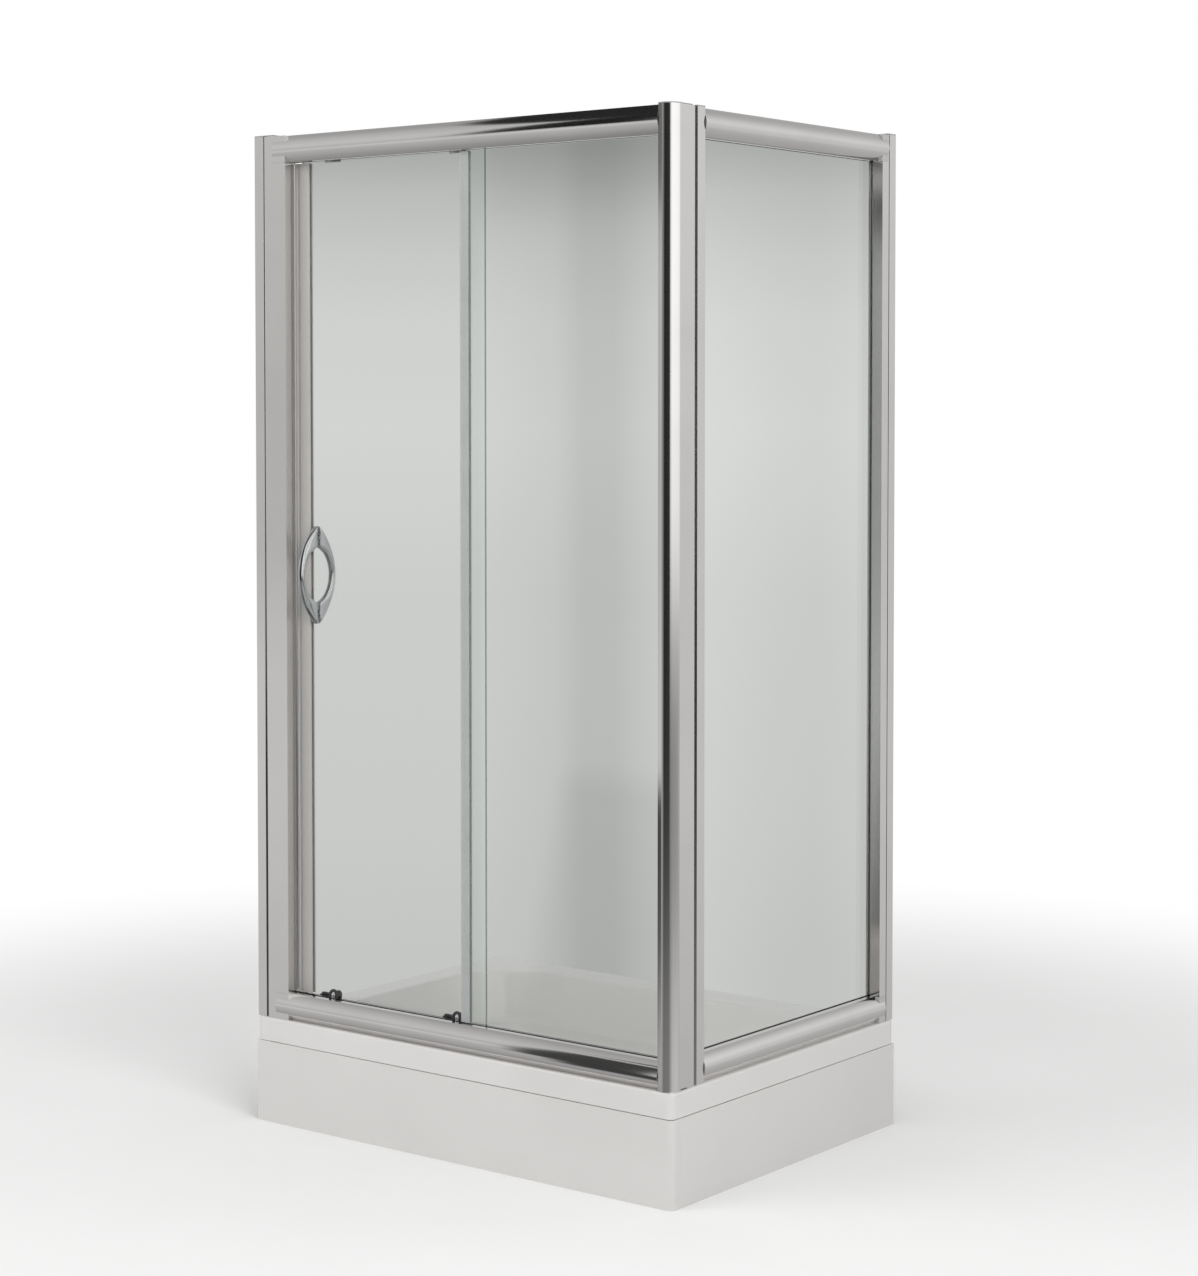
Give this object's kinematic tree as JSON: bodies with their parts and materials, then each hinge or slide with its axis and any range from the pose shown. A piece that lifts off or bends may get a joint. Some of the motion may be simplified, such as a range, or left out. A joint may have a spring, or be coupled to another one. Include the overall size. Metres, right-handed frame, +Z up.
{
  "type": "shower enclosure with sliding door",
  "caption": "Corner shower enclosure on a raised white tray: bright metal frame, a sliding glass door beside a fixed pane along the front and a fixed pane along the side.",
  "frame": {"origin": "on the ground, under the middle of the tray", "axes": "+Z up; the front with the sliding door faces -Y; the glazed side faces +X; the walls of the room are at -X and +Y"},
  "size_m": [1.1, 0.8095, 2.1],
  "materials": {
    "acrylic": "glossy white sanitary acrylic",
    "apron_panel": "glossy white panel",
    "frame_metal": "bright polished anodised aluminium",
    "door_metal": "bright polished anodised aluminium",
    "fixed_pane": "clear toughened glass with a faint green tint",
    "door_pane": "clear toughened glass with a faint green tint",
    "clear_seal": "translucent soft sealing plastic",
    "gasket_rubber": "matt black glazing rubber",
    "stop_rubber": "matt black rubber",
    "magnet_strip": "satin pale grey magnetic strip",
    "handle_chrome": "polished chrome",
    "cap_chrome": "polished chrome",
    "cover_chrome": "polished chrome",
    "fastener_steel": "stainless steel",
    "support_steel": "galvanised square tube",
    "foot_plastic": "matt black plastic",
    "roller_plastic": "matt black plastic",
    "button_plastic": "matt black plastic",
    "hanger_steel": "stainless steel plate",
    "wheel_nylon": "white nylon",
    "bearing_steel": "ground bearing steel",
    "waste_plastic": "white plastic",
    "cap_plastic": "grey plastic"
  },
  "bodies": {
    "enclosure": {"shower_tray": "acrylic", "support_frame": "support_steel", "levelling_feet": "foot_plastic", "foot_locknuts": "fastener_steel", "front_apron": "apron_panel", "side_apron": "apron_panel", "apron_brackets": "support_steel", "waste_body": "waste_plastic", "left_wall_profile": "frame_metal", "left_jamb": "frame_metal", "jamb_magnet_strip": "magnet_strip", "front_top_rail": "frame_metal", "front_bottom_rail": "frame_metal", "corner_post": "frame_metal", "side_front_stile": "frame_metal", "side_rear_jamb": "frame_metal", "rear_wall_profile": "frame_metal", "side_top_rail": "frame_metal", "side_bottom_rail": "frame_metal", "front_fixed_glass": "fixed_pane", "side_glass": "fixed_pane", "front_glass_gaskets": "gasket_rubber", "side_glass_gaskets": "gasket_rubber", "fixed_glass_seal": "clear_seal", "joining_screws": "fastener_steel", "post_cap": "cap_plastic", "profile_caps": "cap_plastic", "door_stops": "stop_rubber"},
    "sliding_door": {"door_glass": "door_pane", "door_edge_profile": "door_metal", "door_magnet_strip": "magnet_strip", "outer_handle": "handle_chrome", "inner_handle": "handle_chrome", "handle_washers": "clear_seal", "handle_studs": "fastener_steel", "top_left_hanger": "hanger_steel", "top_right_hanger": "hanger_steel", "hanger_screws": "fastener_steel", "bottom_left_roller": "roller_plastic", "bottom_right_roller": "roller_plastic", "roller_caps": "cap_chrome"},
    "waste_lid": {"waste_cover": "cover_chrome"},
    "left_button": {"release_button_left": "button_plastic"},
    "right_button": {"release_button_right": "button_plastic"},
    "wheel_top_left": {"top_left_wheel": "wheel_nylon", "top_left_bearing": "bearing_steel"},
    "wheel_top_right": {"top_right_wheel": "wheel_nylon", "top_right_bearing": "bearing_steel"},
    "wheel_bottom_left": {"bottom_left_wheel": "wheel_nylon", "bottom_left_bearing": "bearing_steel"},
    "wheel_bottom_right": {"bottom_right_wheel": "wheel_nylon", "bottom_right_bearing": "bearing_steel"}
  },
  "joints": [
    {"name": "door_slide", "type": "slide", "parent": "enclosure", "child": "sliding_door", "axis": [1, 0, 0], "range_m": [0, 0.37]},
    {"name": "top_left_wheel_spin", "type": "hinge", "parent": "sliding_door", "child": "wheel_top_left", "pos_m": [-0.364, -0.3455, 2.0693], "axis": [0, 1, 0], "range_deg": [0, 1930]},
    {"name": "top_right_wheel_spin", "type": "hinge", "parent": "sliding_door", "child": "wheel_top_right", "pos_m": [-0.02, -0.3455, 2.0693], "axis": [0, 1, 0], "range_deg": [0, 1930]},
    {"name": "bottom_left_wheel_spin", "type": "hinge", "parent": "sliding_door", "child": "wheel_bottom_left", "pos_m": [-0.364, -0.3455, 0.2603], "axis": [0, 1, 0], "range_deg": [0, 1930]},
    {"name": "bottom_right_wheel_spin", "type": "hinge", "parent": "sliding_door", "child": "wheel_bottom_right", "pos_m": [-0.02, -0.3455, 0.2603], "axis": [0, 1, 0], "range_deg": [0, 1930]},
    {"name": "left_button_press", "type": "slide", "parent": "sliding_door", "child": "left_button", "axis": [0, 0, -1], "range_m": [0, 0.004], "stiffness_N_per_m": 300, "springref_m": -0.002},
    {"name": "right_button_press", "type": "slide", "parent": "sliding_door", "child": "right_button", "axis": [0, 0, -1], "range_m": [0, 0.004], "stiffness_N_per_m": 300, "springref_m": -0.002},
    {"name": "waste_cover_lift", "type": "slide", "parent": "enclosure", "child": "waste_lid", "axis": [0, 0, 1], "range_m": [0, 0.06]}
  ],
  "couplings": [
    {"joint": "top_left_wheel_spin", "follows": "door_slide", "rad_per_m": 90.909},
    {"joint": "top_right_wheel_spin", "follows": "door_slide", "rad_per_m": 90.909},
    {"joint": "bottom_left_wheel_spin", "follows": "door_slide", "rad_per_m": 90.909},
    {"joint": "bottom_right_wheel_spin", "follows": "door_slide", "rad_per_m": 90.909}
  ]
}
